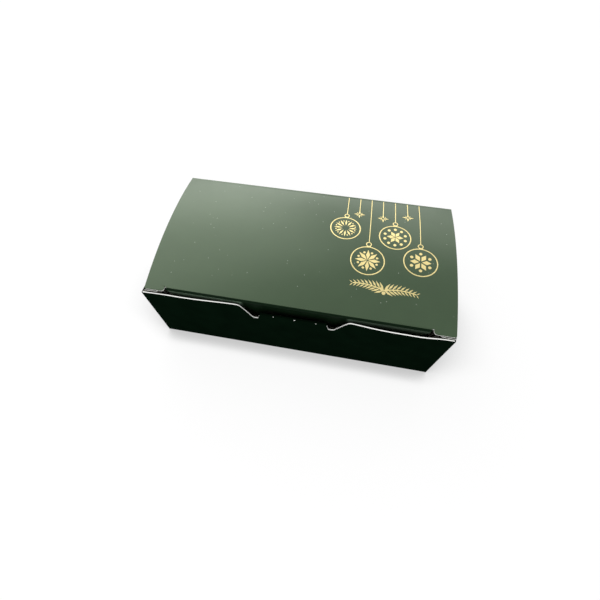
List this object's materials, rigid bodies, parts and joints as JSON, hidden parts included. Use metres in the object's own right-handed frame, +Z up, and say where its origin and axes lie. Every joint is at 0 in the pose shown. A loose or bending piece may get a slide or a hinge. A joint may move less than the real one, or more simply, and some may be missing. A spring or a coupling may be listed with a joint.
{
  "type": "chocolate box",
  "caption": "One-piece folding paperboard box with a bowed tuck-in lid hinged at the back, dust flaps, a hemmed front lock tab and an interlocking glued bottom.",
  "frame": {"origin": "on the table under the middle of the box", "axes": "+X along the front to the right, +Y from the front to the hinge at the back, +Z up"},
  "size_m": [0.14, 0.0746, 0.0455],
  "materials": {
    "printed_board": "satin",
    "glue": "matte"
  },
  "bodies": {
    "carton": {"front_wall": "printed_board", "back_wall": "printed_board", "left_end_wall": "printed_board", "right_end_wall": "printed_board", "seam_flap": "printed_board", "seam_adhesive": "glue", "bottom_front_flap": "printed_board", "bottom_front_glue_ear": "printed_board", "bottom_front_adhesive": "glue", "bottom_back_flap": "printed_board", "bottom_back_glue_ear": "printed_board", "bottom_back_adhesive": "glue", "bottom_left_flap": "printed_board", "bottom_right_flap": "printed_board"},
    "lid": {"lid_panel": "printed_board"},
    "tuck_flap": {"lid_tuck_flap": "printed_board"},
    "left_dust_flap": {"left_dust_flap": "printed_board"},
    "right_dust_flap": {"right_dust_flap": "printed_board"},
    "lock_tab": {"front_lock_tab": "printed_board"}
  },
  "joints": [
    {"name": "lid_hinge", "type": "hinge", "parent": "carton", "child": "lid", "pos_m": [0, 0.03692, 0.04108], "axis": [-1, 0, 0], "range_deg": [0, 170]},
    {"name": "tuck_flap_fold", "type": "hinge", "parent": "lid", "child": "tuck_flap", "pos_m": [0, -0.03472, 0.04172], "axis": [-1, 0, 0], "range_deg": [0, 85]},
    {"name": "left_dust_flap_fold", "type": "hinge", "parent": "carton", "child": "left_dust_flap", "pos_m": [-0.06962, 0, 0.04058], "axis": [0, -1, 0], "range_deg": [0, 119]},
    {"name": "right_dust_flap_fold", "type": "hinge", "parent": "carton", "child": "right_dust_flap", "pos_m": [0.06962, 0, 0.04058], "axis": [0, 1, 0], "range_deg": [0, 119]},
    {"name": "lock_tab_fold", "type": "hinge", "parent": "carton", "child": "lock_tab", "pos_m": [0, -0.03692, 0.03552], "axis": [1, 0, 0], "range_deg": [0, 85]}
  ],
  "couplings": [
    {"joint": "tuck_flap_fold", "follows": "lid_hinge", "ratio": 0.5},
    {"joint": "left_dust_flap_fold", "follows": "lid_hinge", "ratio": 0.7},
    {"joint": "right_dust_flap_fold", "follows": "lid_hinge", "ratio": 0.7},
    {"joint": "lock_tab_fold", "follows": "lid_hinge", "ratio": 0.5}
  ]
}
